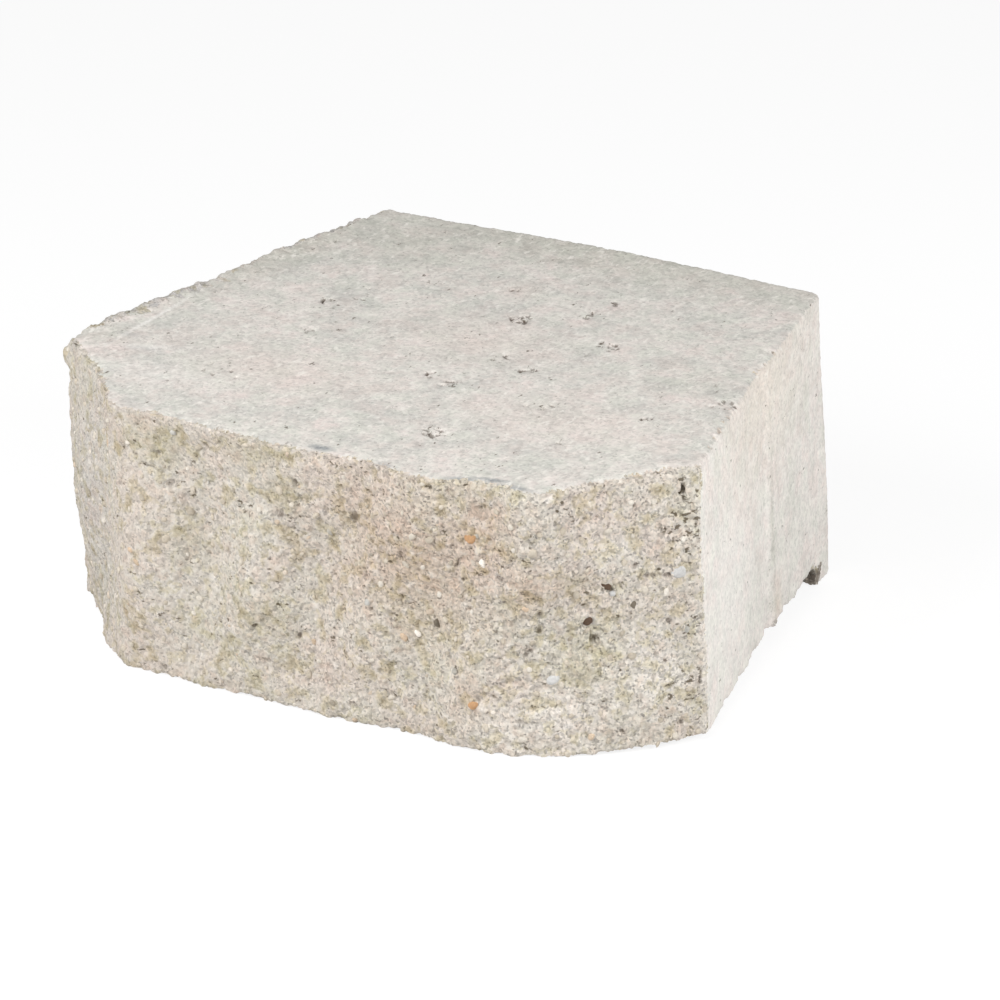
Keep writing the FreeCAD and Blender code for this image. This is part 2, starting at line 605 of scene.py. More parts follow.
@dataclass(frozen=True)
class SmoothFinish:
    """Moulded or struck dry-cast concrete: tight pale skin with faint streaks and open pores."""

    name: str
    tones: tuple[str, str, str]
    streak_scale: Place
    pores: tuple[Mark, ...]
    tints: tuple[Mark, ...]
    hues: tuple[str, ...] = ("#fcfffd", "#ffffff", "#fffbfb")
    hue_mm: float = 12.0
    fray_mm: float = 7.0
    mottle_mm: float = 14.0
    streak_mm: float = 3.2
    streak_depth: float = 0.1
    speck_mm: float = 1.0
    speck_depth: float = 0.13
    pore_scale: Place = (1.0, 0.55, 1.0)
    fleck_mm: float = 2.4
    fleck_limit: float = 0.67
    pit_mm: float = 1.6
    bump: tuple[float, float] = (0.5, 0.35)
    roughness: float = 0.92
    specular: float = 0.2

    def material(self, stance: Stance) -> Finish:
        """Builds the material.

        Args:
            stance: Where the drawn places of the marks stand.

        Returns:
            A material whose streaks run the way that the mould or the pallet drew them.
        """
        material, tree = new_material(self.name)
        add = partial(add_node, tree)
        place = add("ShaderNodeTexCoord", output="Object")
        # Streaks and pores are drawn out along the way the skin was rubbed
        drawn, along = (
            add("ShaderNodeMapping", {"Vector": place, "Scale": scale})
            for scale in (self.streak_scale, self.pore_scale)
        )
        mottle, hue, streak, fleck, pit, grit = (
            add(NOISE, {"Vector": vector, "Scale": 1.0 / (size * MM), "Detail": detail, "Roughness": rough})
            for vector, size, detail, rough in (
                (place, self.mottle_mm, 5.0, 0.65),
                (place, self.hue_mm, 4.0, 0.65),
                (drawn, self.streak_mm, 4.0, 0.65),
                (along, self.fleck_mm, 3.0, 0.6),
                (along, self.pit_mm, 3.0, 0.6),
                (place, self.speck_mm, 3.0, 0.7),
            )
        )
        colour = add("ShaderNodeValToRGB", {"Fac": mottle})
        fill_ramp(colour, list(zip((0.36, 0.5, 0.64), self.tones)))
        cloud = add("ShaderNodeValToRGB", {"Fac": hue})
        fill_ramp(cloud, list(zip((0.38, 0.5, 0.62), self.hues)))
        colour = add(MIX, {0: 1.0, 6: colour, 7: cloud}, 2, data_type="RGBA", blend_type="MULTIPLY")
        colour = lay_tints(tree, place, colour, self.tints, stance, self.fray_mm)
        # Over the tints go the streaks, and sand grains as fine light and dark specks
        streak = add(
            RANGE,
            {
                "Value": streak, "From Min": 0.3, "From Max": 0.7,
                "To Min": 1.0 - self.streak_depth, "To Max": 1.0 + self.streak_depth,
            },
        )
        sand = add("ShaderNodeTexVoronoi", {"Vector": place, "Scale": 1.0 / (self.speck_mm * MM)})
        speck = add("ShaderNodeSeparateColor", {"Color": sand.node.outputs["Color"]}, "Red")
        speck = add(MATH, {0: speck, 1: 0.5}, operation="POWER")
        dark, light = 1.0 - 1.6 * self.speck_depth, 1.0 + 0.5 * self.speck_depth
        speck = add(RANGE, {"Value": speck, "To Min": dark, "To Max": light})
        for layer in (streak, speck):
            colour = add(MIX, {0: 1.0, 6: colour, 7: layer}, 2, data_type="RGBA", blend_type="MULTIPLY")
        # Open pores, painted dark as the shade in them: uneven flecks, a few all over the face and
        # crowds of finer ones at the named marks
        full = self.fleck_limit + PORE_EDGE
        pore_shade = add(RANGE, {"Value": fleck, "From Min": self.fleck_limit, "From Max": full, "To Max": 0.9})
        crowd = spot_mask(tree, place, self.pores, stance, self.fray_mm, CROWD_CORE)
        limit = add(RANGE, {"Value": crowd, "To Min": 0.8, "To Max": 0.57})
        full = add(MATH, {0: limit, 1: PORE_EDGE}, operation="ADD")
        pit = add(RANGE, {"Value": pit, "From Min": limit, "From Max": full, "To Max": 0.95})
        pore_shade = add(MATH, {0: pore_shade, 1: pit}, operation="MAXIMUM")
        colour = add(MIX, {0: pore_shade, 6: colour, 7: linear(Tint.PIT_SHADE.value)}, 2, data_type="RGBA")
        colour = lay_where(tree, colour, fleck, (0.44, 0.28), 0.6, "#f4f0e9")
        # Painted shade, with some dirt, in the broken places
        colour = lay_shade_and_dirt(tree, colour, grit)
        surface = {"Base Color": colour, "Roughness": self.roughness, "Specular IOR Level": self.specular}
        end_material(tree, grit, self.bump, surface)
        return material


@dataclass(frozen=True)
class PebbleFinish:
    """River gravel: water-worn stone, smoother than the paste, each stone in its own colour."""

    roughness: float = 0.8
    vein_mm: float = 1.2
    bump: tuple[float, float] = (0.6, 0.5)

    def material(self) -> Finish:
        """Builds the material, which takes each stone's colour from the mesh."""
        material, tree = new_material("river_gravel")
        add = partial(add_node, tree)
        place = add("ShaderNodeTexCoord", output="Object")
        colour = add(ATTRIBUTE, output="Color", attribute_name="stone_colour")
        vein = add(
            NOISE, {"Vector": place, "Scale": 1.0 / (self.vein_mm * MM), "Detail": 4.0, "Roughness": 0.7}
        )
        tone = add(RANGE, {"Value": vein, "From Min": 0.3, "From Max": 0.7, "To Min": 0.78, "To Max": 1.15})
        colour = add(MIX, {0: 1.0, 6: colour, 7: tone}, 2, data_type="RGBA", blend_type="MULTIPLY")
        end_material(tree, vein, self.bump, {"Base Color": colour, "Roughness": self.roughness})
        return material


class ReliefTree:
    """Node tree that gives the skin its split relief, wears its arrises and hands out the finishes."""

    def __init__(self, inputs: dict[str, str]) -> None:
        """Starts the tree with what its steps share.

        Args:
            inputs: Input name to the last word of its socket type.
        """
        self.tree = new_tree("split_relief", inputs)
        self.add = add = partial(add_node, self.tree)
        self.given = add("NodeGroupInput").node.outputs
        self.place = add("GeometryNodeInputPosition")
        self.where = add("ShaderNodeSeparateXYZ", {"Vector": self.place}).node.outputs
        self.bared = add(NAMED, {"Name": "torn"}, data_type="FLOAT")
        # Which way a point faced on the drawing: the split front looks forward
        facing = add(NAMED, {"Name": "facing"}, data_type="FLOAT_VECTOR")
        self.facing = add("ShaderNodeSeparateXYZ", {"Vector": facing}).node.outputs
        self.split = add(RANGE, {"Value": self.facing["Y"], "From Min": -0.2, "From Max": -0.5})
        # The split is coarser towards the right
        self.coarse = add(RANGE, {"Value": self.where["X"], "From Min": -100.0 * MM, "From Max": 60.0 * MM})
        # Noise of each size, about one half
        self.noises = {}
        for seed, name in enumerate(("Lump", "Crumble", "Pocket", "Chip", "Skin")):
            scale = add(MATH, {0: 1.0, 1: self.given[f"{name} Size"]}, operation="DIVIDE")
            self.noises[name] = add(
                NOISE,
                {"Vector": self.place, "W": seed + 0.5, "Scale": scale, "Detail": 5.0, "Roughness": 0.68},
                noise_dimensions="4D",
            )

    def build(self, split: Finish, top: Finish, moulded: Finish) -> Tree:
        """Puts the tree's steps together.

        Args:
            split: The finish of the split front and of the broken places.
            top: The finish of the top.
            moulded: The finish of the other faces.

        Returns:
            The finished tree.
        """
        add = self.add
        rest = self.warped_places()
        rises = self.rises(rest)
        chip, drop = self.chips()
        above = add(RANGE, {"Value": self.facing["Z"], "From Min": 0.5, "From Max": 0.9})
        depth = add(MATH, {0: rises["Torn"], 1: MM}, operation="DIVIDE")
        depth = add(MATH, {0: depth, 1: self.split}, operation="MULTIPLY")
        # What the finishes need to know is stored before the skin moves
        stored = self.given["Geometry"]
        for name, value, kind in (
            ("split", self.split, "FLOAT"), ("above", above, "FLOAT"), ("chip", chip, "FLOAT"),
            ("relief", depth, "FLOAT"), ("rest", rest, "FLOAT_VECTOR"), ("coarse", self.coarse, "FLOAT"),
        ):
            stored = add(
                "GeometryNodeStoreNamedAttribute",
                {"Geometry": stored, "Name": name, "Value": value}, data_type=kind, domain="POINT",
            )
        offset = self.offset(self.rise(rises, drop))
        moved = add("GeometryNodeSetPosition", {"Geometry": stored, "Offset": offset})
        dressed = add("GeometryNodeRealizeInstances", {"Geometry": moved})
        dressed = add("GeometryNodeSetMaterial", {"Geometry": dressed, "Material": moulded})
        for name, finish in (("above", top), ("chip", split), ("split", split)):
            value = add(NAMED, {"Name": name}, data_type="FLOAT")
            chosen = add(MATH, {0: value, 1: 0.5}, operation="GREATER_THAN")
            dressed = add(
                "GeometryNodeSetMaterial", {"Geometry": dressed, "Selection": chosen, "Material": finish}
            )
        add("NodeGroupOutput", {0: dressed})
        return self.tree

    def warped_places(self) -> Socket:
        """The places, warped a little so that no stone has a straight outline."""
        add = self.add
        scale = add(MATH, {0: 1.0, 1: self.given["Warp Size"]}, operation="DIVIDE")
        stray = add(NOISE, {"Vector": self.place, "Scale": scale, "Detail": 2.0}, "Color")
        stray = add(VECTOR_MATH, {0: stray, 1: (0.5, 0.5, 0.5)}, operation="SUBTRACT")
        stray = add(VECTOR_MATH, {0: stray, "Scale": self.given["Warp Height"]}, operation="SCALE")
        return add(VECTOR_MATH, {0: self.place, 1: stray}, operation="ADD")

    def rises(self, rest: Socket) -> dict[str, Socket]:
        """Works out how far each kind of relief lifts a point.

        Args:
            rest: The warped places.

        Returns:
            The lift of each kind, and under "Torn" the sum of those that make the torn face.
        """
        add, given = self.add, self.given
        rises = {}
        for name in ("Lump", "Crumble", "Skin"):
            centred = add(MATH, {0: self.noises[name], 1: 0.5}, operation="SUBTRACT")
            rises[name] = add(MATH, {0: centred, 1: given[f"{name} Height"]}, operation="MULTIPLY")
        # Stones and sand: each cell is a dome or, where its stone came away, a socket
        for name in ("Grain", "Sand"):
            scale = add(MATH, {0: 1.0, 1: given[f"{name} Size"]}, operation="DIVIDE")
            cell = add("ShaderNodeTexVoronoi", {"Vector": rest, "Scale": scale})
            chance = add("FunctionNodeSeparateColor", {0: cell.node.outputs["Color"]})
            dome = add(MATH, {0: 0.55, 1: cell}, operation="SUBTRACT")
            swing = add(RANGE, {"Value": chance, "To Min": -0.6, "To Max": 1.2})
            shape = add(MATH, {0: dome, 1: swing}, operation="MULTIPLY")
            rises[name] = add(MATH, {0: shape, 1: given[f"{name} Height"]}, operation="MULTIPLY")
        hollow = add(
            RANGE,
            {"Value": self.noises["Pocket"], "From Min": 0.6, "From Max": 0.76, "To Max": -1.0},
            interpolation_type="SMOOTHSTEP",
        )
        rises["Pocket"] = add(MATH, {0: hollow, 1: given["Pocket Height"]}, operation="MULTIPLY")
        torn = rises["Crumble"]
        for name in ("Grain", "Sand", "Pocket"):
            torn = add(MATH, {0: torn, 1: rises[name]}, operation="ADD")
        strength = add(RANGE, {"Value": self.coarse, "To Min": 0.75, "To Max": 1.15})
        for name, rise in (("Torn", torn), ("Lump", rises["Lump"])):
            rises[name] = add(MATH, {0: rise, 1: strength}, operation="MULTIPLY")
        return rises

    def chips(self) -> tuple[Socket, Socket]:
        """Breaks bits of the other faces away along the arris of the split.

        Returns:
            How far each point is chipped or torn, and how far it drops in a chip.
        """
        add, given = self.add, self.given
        front = add(MATH, {0: self.split, 1: 0.9}, operation="GREATER_THAN")
        front = add(
            "GeometryNodeSeparateGeometry", {"Geometry": given["Geometry"], "Selection": front}, domain="FACE"
        )
        away = add("GeometryNodeProximity", {0: front}, "Distance", target_element="FACES")
        share = add(RANGE, {"Value": self.noises["Chip"], "From Min": 0.36, "From Max": 0.66})
        reach = add(MATH, {0: share, 1: given["Chip Reach"]}, operation="MULTIPLY")
        inside = add(MATH, {0: reach, 1: away}, operation="SUBTRACT")
        chip = add(RANGE, {"Value": inside, "From Min": 0.0, "From Max": 0.8 * MM})
        drop = add(MATH, {0: chip, 1: given["Chip Height"]}, operation="MULTIPLY")
        return add(MATH, {0: chip, 1: self.bared}, operation="MAXIMUM"), drop

    def rise(self, rises: dict[str, Socket], drop: Socket) -> Socket:
        """Works out how far each point moves out of its face, before the arrises are worn.

        Args:
            rises: The lift of each kind of relief.
            drop: How far a chipped point drops.

        Returns:
            The split's relief on the front, and on the other faces a fine skin with torn places.
        """
        add = self.add
        smooth = add(MATH, {0: rises["Skin"], 1: drop}, operation="SUBTRACT")
        rough = add(MATH, {0: self.bared, 1: 2.0}, operation="MULTIPLY", use_clamp=True)
        rough = add(MATH, {0: rises["Torn"], 1: rough}, operation="MULTIPLY")
        smooth = add(MATH, {0: smooth, 1: rough}, operation="ADD")
        broken = add(MATH, {0: rises["Torn"], 1: rises["Lump"]}, operation="ADD")
        return add(MIX, {0: self.split, 2: smooth, 3: broken}, data_type="FLOAT")

    def offset(self, rise: Socket) -> Socket:
        """Lets the arrises crumble: worn back unevenly towards a blurred form, with small crumbs.

        Args:
            rise: How far each point moves out of its face.

        Returns:
            The whole move of each point.
        """
        add, given = self.add, self.given
        blurred = add(
            "GeometryNodeBlurAttribute", {0: self.place, 1: given["Wear Steps"]}, data_type="FLOAT_VECTOR"
        )
        inward = add(VECTOR_MATH, {0: blurred, 1: self.place}, operation="SUBTRACT")
        bend = add(VECTOR_MATH, {0: inward}, "Value", operation="LENGTH")
        edge = add(RANGE, {"Value": bend, "From Min": 0.1 * MM, "From Max": 0.5 * MM})
        crumbs = add(MATH, {0: self.noises["Skin"], 1: 0.5}, operation="SUBTRACT")
        for share in (given["Edge Height"], edge):
            crumbs = add(MATH, {0: crumbs, 1: share}, operation="MULTIPLY")
        rise = add(MATH, {0: rise, 1: crumbs}, operation="ADD")
        normal = add("GeometryNodeInputNormal")
        outward = add(VECTOR_MATH, {0: normal, "Scale": rise}, operation="SCALE")
        # The right-hand top arris was rubbed round along its whole length, less so at the back
        rightward, upward = (
            add(RANGE, {"Value": self.facing[axis], "From Min": 0.2, "From Max": 0.5}) for axis in ("X", "Z")
        )
        rubbed = add(MATH, {0: rightward, 1: upward}, operation="MULTIPLY")
        rubbed = add("GeometryNodeBlurAttribute", {0: rubbed, 1: given["Wear Steps"]}, data_type="FLOAT")
        rubbed = add(RANGE, {"Value": rubbed, "From Max": 0.1})
        most = {"From Min": 60.0 * MM, "From Max": 90.0 * MM, "To Min": 0.5, "To Max": 0.15}
        most = add(RANGE, {"Value": self.where["Y"]} | most)
        rubbed = add(MATH, {0: rubbed, 1: most}, operation="MULTIPLY")
        wear = {"From Min": 0.45, "From Max": 0.7, "To Max": given["Most Wear"]}
        wear = add(RANGE, {"Value": self.noises["Chip"]} | wear)
        wear = add(MATH, {0: wear, 1: rubbed}, operation="MAXIMUM")
        worn = add(VECTOR_MATH, {0: inward, "Scale": wear}, operation="SCALE")
        return add(VECTOR_MATH, {0: outward, 1: worn}, operation="ADD")


@dataclass
class BlockSkin:
    """The block's visible skin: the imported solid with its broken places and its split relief."""

    stance: Stance
    split: Finish
    top: Finish
    moulded: Finish
    touches: tuple[Touch, ...]
    skin_mm: float = 0.56
    fray_mm: float = 1.6
    fray_depth: float = 0.6
    level_limit: float = 0.9
    sharp_angle: float = 50.0
    wear_steps: int = 40
    most_wear: float = 0.4
    triangles: int = 190000
    relief: dict[str, float] = field(
        default_factory=lambda: {
            "Lump Size": 13.0, "Lump Height": 3.4,
            "Crumble Size": 6.0, "Crumble Height": 4.2,
            "Warp Size": 3.0, "Warp Height": 1.4,
            "Grain Size": 3.8, "Grain Height": 0.9,
            "Sand Size": 1.6, "Sand Height": 0.6,
            "Pocket Size": 6.5, "Pocket Height": 1.6,
            "Chip Size": 5.0, "Chip Reach": 3.8, "Chip Height": 0.45,
            "Skin Size": 2.6, "Skin Height": 0.1, "Edge Height": 1.6,
        }
    )

    def build(self) -> bpy.types.Object:
        """Makes the skin.

        Returns:
            The finished object, dressed and with no modifiers left.
        """
        skin = self.cast()
        self.apply_touches(skin)
        self.raise_relief(skin)
        self.thin_out(skin)
        skin.data.shade_smooth()
        skin.data.set_sharp_from_angle(angle=math.radians(self.sharp_angle))
        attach(skin, BLOCK_BODY)
        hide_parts(BLOCK_NODE)
        LOG.info("%s: %d triangles", skin.name, triangle_count(skin.data))
        return skin

    def cast(self) -> bpy.types.Object:
        """Casts an even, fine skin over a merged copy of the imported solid.

        Returns:
            The skin, still as smooth as the solid.
        """
        mesh = frame["nodes"][BLOCK_NODE].data.copy()
        mesh.name = "split_face_block"
        mesh.materials.clear()
        work = bmesh.new()
        work.from_mesh(mesh)
        bmesh.ops.remove_doubles(work, verts=work.verts, dist=1e-6)
        work.to_mesh(mesh)
        work.free()
        skin = bpy.data.objects.new("split_face_block", mesh)
        bpy.context.scene.collection.objects.link(skin)
        remesh = skin.modifiers.new("fine skin", "REMESH")
        remesh.mode = "VOXEL"
        remesh.voxel_size = self.skin_mm * MM
        settle_modifiers(skin)
        return skin

    def apply_touches(self, skin: bpy.types.Object) -> None:
        """Breaks and swells the skin at the named places.

        Each point keeps the way it faced on the drawing, how much painted shade and dirt it takes, and how
        torn it is.

        Args:
            skin: The cast skin.
        """
        mesh = skin.data
        count = len(mesh.vertices)
        points, normals = np.empty(count * 3), np.empty(count * 3)
        mesh.vertices.foreach_get("co", points)
        mesh.vertices.foreach_get("normal", normals)
        points, normals = points.reshape(-1, 3), normals.reshape(-1, 3)
        moved = points.copy()
        stored = {"stain": np.zeros(count), "torn": np.zeros(count)}
        for touch in self.touches:
            away = points - np.array(self.stance.to_floor(touch.place))
            near = np.where(np.abs(away).max(1) < max(touch.reach) * MM)[0]
            out = normals[near[np.argmin((away[near] ** 2).sum(1))]]
            bowl = self.bowl(touch, points[near], away[near], out)
            moved[near] += out * (bowl * touch.rise * MM)[:, None]
            for name, amount in (("stain", touch.stain), ("torn", touch.torn)):
                stored[name][near] = np.maximum(stored[name][near], bowl * amount)
        mesh.vertices.foreach_set("co", moved.ravel())
        upright = normals @ np.array(self.stance.turn)
        mesh.attributes.new("facing", "FLOAT_VECTOR", "POINT").data.foreach_set("vector", upright.ravel())
        for name, values in stored.items():
            mesh.attributes.new(name, "FLOAT", "POINT").data.foreach_set("value", values)
        mesh.update()

    def bowl(self, touch: Touch, points: np.ndarray, away: np.ndarray, out: np.ndarray) -> np.ndarray:
        """How much of a touch each point near it takes.

        Args:
            touch: The touch.
            points: The points near it.
            away: The way from the touch's place to each of them.
            out: The way that the face looks at the touch's place.

        Returns:
            A share from 0 to 1 for each point.
        """
        side = np.cross((0.0, 0.0, 1.0) if abs(out[2]) < self.level_limit else (0.0, 1.0, 0.0), out)
        side /= np.linalg.norm(side)
        lift = np.cross(out, side)
        angle = math.radians(touch.turn)
        along = side * math.cos(angle) + lift * math.sin(angle)
        across = lift * math.cos(angle) - side * math.sin(angle)
        share = np.hypot(away @ along / touch.reach[0], away @ across / touch.reach[1]) / MM
        if touch.rim is Rim.BROKEN:
            size = self.fray_mm * MM
            share *= [1.0 + self.fray_depth * noise.noise(Vector(point) / size) for point in points]
        return np.clip(1.0 - share**2, 0.0, 1.0) ** touch.rim.value

    def raise_relief(self, skin: bpy.types.Object) -> None:
        """Gives the split front its crumbled relief, wears the arrises and hands out the finishes.

        Args:
            skin: The cast skin with its touches.
        """
        modifier = skin.modifiers.new("split relief", "NODES")
        modifier.node_group = self.relief_tree()
        values: dict[str, object] = {name: size * MM for name, size in self.relief.items()}
        values |= {"Wear Steps": self.wear_steps, "Most Wear": self.most_wear}
        set_inputs(modifier, values)
        settle_modifiers(skin)

    def thin_out(self, skin: bpy.types.Object) -> None:
        """Merges points where the skin is flat, down to the number of triangles wanted."""
        count = triangle_count(skin.data)
        if count > self.triangles:
            decimate = skin.modifiers.new("thin out", "DECIMATE")
            decimate.ratio = self.triangles / count
            settle_modifiers(skin)

    def relief_tree(self) -> Tree:
        """The node tree of the split relief, with a named input for each size."""
        kinds = {name: "Float" for name in [*self.relief, "Most Wear"]}
        return ReliefTree(kinds | {"Wear Steps": "Int"}).build(self.split, self.top, self.moulded)


@dataclass
class Stones:
    """The stones that the split laid bare: a few that catch the eye and a scatter of small grit."""

    stance: Stance
    finish: Finish
    skin: bpy.types.Object
    bare: tuple[BareStone, ...]
    grit: dict[str, float] = field(
        default_factory=lambda: {"Spacing": 6.5, "Least Size": 0.6, "Largest Size": 1.6, "Sunk": 0.45}
    )
    seed: int = 11
    sunk_share: float = 0.45
    roundness: int = 3
    knobs: int = 6
    knob_spread: float = 1.1
    knob_waves: float = 2.2
    knob_height: float = 0.05
    bare_limit: float = 0.95
    most_density: float = 60000.0
    pebbles: int = 3

    def build(self) -> list[bpy.types.Object]:
        """Makes the bare stones and the grit.

        Returns:
            The finished objects.
        """
        pieces = [self.bare_stones(), self.scatter_grit()]
        for piece in pieces:
            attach(piece, BLOCK_BODY)
            LOG.info("%s: %d triangles", piece.name, triangle_count(piece.data))
        return pieces

    def bare_stones(self) -> bpy.types.Object:
        """Sets each named stone into the skin at its place.

        Returns:
            One object with all of them.
        """
        surface = BVHTree.FromPolygons(
            [v.co for v in self.skin.data.vertices], [p.vertices for p in self.skin.data.polygons]
        )
        work = bmesh.new()
        colours: list[tuple[float, ...]] = []
        for number, stone in enumerate(self.bare):
            spot = surface.find_nearest(self.stance.to_floor(stone.place))[0]
            out = Vector(FRONT_WAY if stone.place[0] < RIGHT_JOINT else FACET_WAY)
            turned = out.to_track_quat("Z", "Y").to_matrix().to_4x4()
            spin = Matrix.Rotation(math.radians(stone.turn), 4, "Z")
            size = Matrix.Diagonal((*[half * MM for half in stone.half], 1.0))
            centre = spot - out * stone.half[2] * MM * self.sunk_share
            made = bmesh.ops.create_icosphere(work, subdivisions=self.roundness, radius=1.0)["verts"]
            chance = np.random.default_rng(self.seed + number)
            bumps = [Vector(row) for row in chance.normal(0.0, self.knob_spread, (self.knobs, 3))]
            for vertex in made:
                waves = (self.knob_waves * vertex.co.dot(bump) + i for i, bump in enumerate(bumps))
                vertex.co *= 1.0 + self.knob_height * sum(map(math.sin, waves))
            bmesh.ops.transform(work, matrix=Matrix.Translation(centre) @ turned @ spin @ size, verts=made)
            colours += [linear(stone.colour.value)] * len(made)
        mesh = bpy.data.meshes.new("bare_stones")
        work.to_mesh(mesh)
        work.free()
        attribute = mesh.attributes.new("stone_colour", "FLOAT_COLOR", "POINT")
        attribute.data.foreach_set("color", np.array(colours).ravel())
        mesh.materials.append(self.finish)
        mesh.shade_smooth()
        stones = bpy.data.objects.new("bare_stones", mesh)
        bpy.context.scene.collection.objects.link(stones)
        return stones

    def scatter_grit(self) -> bpy.types.Object:
        """Scatters small grit over the split front.

        Returns:
            One object with all of it.
        """
        grit = bpy.data.objects.new("exposed_grit", self.skin.data.copy())
        bpy.context.scene.collection.objects.link(grit)
        modifier = grit.modifiers.new("grit", "NODES")
        modifier.node_group = self.grit_tree()
        values: dict[str, object] = {name: size * MM for name, size in self.grit.items()}
        set_inputs(modifier, values | {"Seed": self.seed})
        settle_modifiers(grit)
        grit.data.name = "exposed_grit"
        return grit

    def grit_tree(self) -> Tree:
        """Builds the node tree that scatters the grit.

        Returns:
            A geometry tree with inputs for the spacing, the sizes and the seed.
        """
        tree = new_tree("grit_scatter", {name: "Float" for name in self.grit} | {"Seed": "Int"})
        add = partial(add_node, tree)
        given = add("NodeGroupInput").node.outputs
        # No grit on the broken places, which carry painted shade and dirt
        split = add(NAMED, {"Name": "split"}, data_type="FLOAT")
        stain = add(NAMED, {"Name": "stain"}, data_type="FLOAT")
        bare = add(MATH, {0: split, 1: stain}, operation="SUBTRACT")
        bare = add(MATH, {0: bare, 1: self.bare_limit}, operation="GREATER_THAN")
        points = add(
            "GeometryNodeDistributePointsOnFaces",
            {
                "Mesh": given["Geometry"], "Selection": bare, "Distance Min": given["Spacing"],
                "Density Max": self.most_density, "Seed": given["Seed"],
            },
            distribute_method="POISSON",
        )
        # A few knobbly pebbles to pick from
        ball = add("GeometryNodeMeshUVSphere", {"Segments": 8, "Rings": 5, "Radius": 1.0})
        round_place = add("GeometryNodeInputPosition")
        join = tree.nodes.new("GeometryNodeJoinGeometry")
        for variant in range(self.pebbles):
            knobs = add(
                NOISE,
                {"Vector": round_place, "W": 3.0 * variant, "Scale": 1.1, "Detail": 1.0},
                noise_dimensions="4D",
            )
            size = add(MATH, {0: knobs, 1: 0.5}, operation="ADD")
            knobbly = add(VECTOR_MATH, {0: round_place, "Scale": size}, operation="SCALE")
            shaped = add("GeometryNodeSetPosition", {"Geometry": ball, "Position": knobbly})
            shaped = add("GeometryNodeGeometryToInstance", {0: shaped})
            tree.links.new(shaped, join.inputs[0])
        pick = add(RANDOM, {4: 0, 5: self.pebbles - 1, "Seed": 1}, 2, data_type="INT")
        size = add(
            RANDOM,
            {2: given["Least Size"], 3: given["Largest Size"], "Seed": given["Seed"]}, 1, data_type="FLOAT",
        )
        shape = add(RANDOM, {0: (0.7, 0.7, 0.35), 1: (1.4, 1.0, 0.6), "Seed": 3}, 0, data_type="FLOAT_VECTOR")
        scale = add(VECTOR_MATH, {0: shape, "Scale": size}, operation="SCALE")
        spin = add(RANDOM, {2: 0.0, 3: math.tau, "Seed": 5}, 1, data_type="FLOAT")
        turned = add("FunctionNodeAxisAngleToRotation", {"Axis": (0.0, 0.0, 1.0), "Angle": spin})
        rotation = add(
            "FunctionNodeRotateRotation", {0: points.node.outputs["Rotation"], 1: turned},
            rotation_space="LOCAL",
        )
        placed = add(
            "GeometryNodeInstanceOnPoints",
            {
                "Points": points, "Instance": join.outputs[0], "Pick Instance": True,
                "Instance Index": pick, "Rotation": rotation, "Scale": scale,
            },
        )
        chance = add(RANDOM, {2: 0.0, 3: 1.0, "Seed": 9}, 1, data_type="FLOAT")
        colour = add("ShaderNodeValToRGB", {"Fac": chance})
        fill_ramp(
            colour,
            [
                (0.0, "#b9af9f"), (0.2, "#cbc0af"), (0.5, "#d3c9b9"), (0.74, "#ddd5c8"),
                (0.88, "#e9e2d7"), (0.92, "#ccb498"), (0.96, "#c8c8c4"), (1.0, "#a99f8f"),
            ],
        )
        kept = add(
            "GeometryNodeStoreNamedAttribute",
            {"Geometry": placed, "Name": "stone_colour", "Value": colour},
            data_type="FLOAT_COLOR", domain="INSTANCE",
        )
        down = add(MATH, {0: given["Sunk"], 1: -1.0}, operation="MULTIPLY")
        way = add("ShaderNodeCombineXYZ", {"Z": down})
        sunk = add("GeometryNodeTranslateInstances", {"Instances": kept, "Translation": way})
        real = add("GeometryNodeRealizeInstances", {"Geometry": sunk})
        smooth = add("GeometryNodeSetShadeSmooth", {"Geometry": real})
        dressed = add("GeometryNodeSetMaterial", {"Geometry": smooth, "Material": self.finish})
        add("NodeGroupOutput", {0: dressed})
        return tree


@dataclass(frozen=True)
class Lamp:
    """A soft lamp: the way it stands from the block, its distance and width in metres, its watts."""

    name: str
    azimuth: float
    elevation: float
    distance: float
    width: float
    watts: float


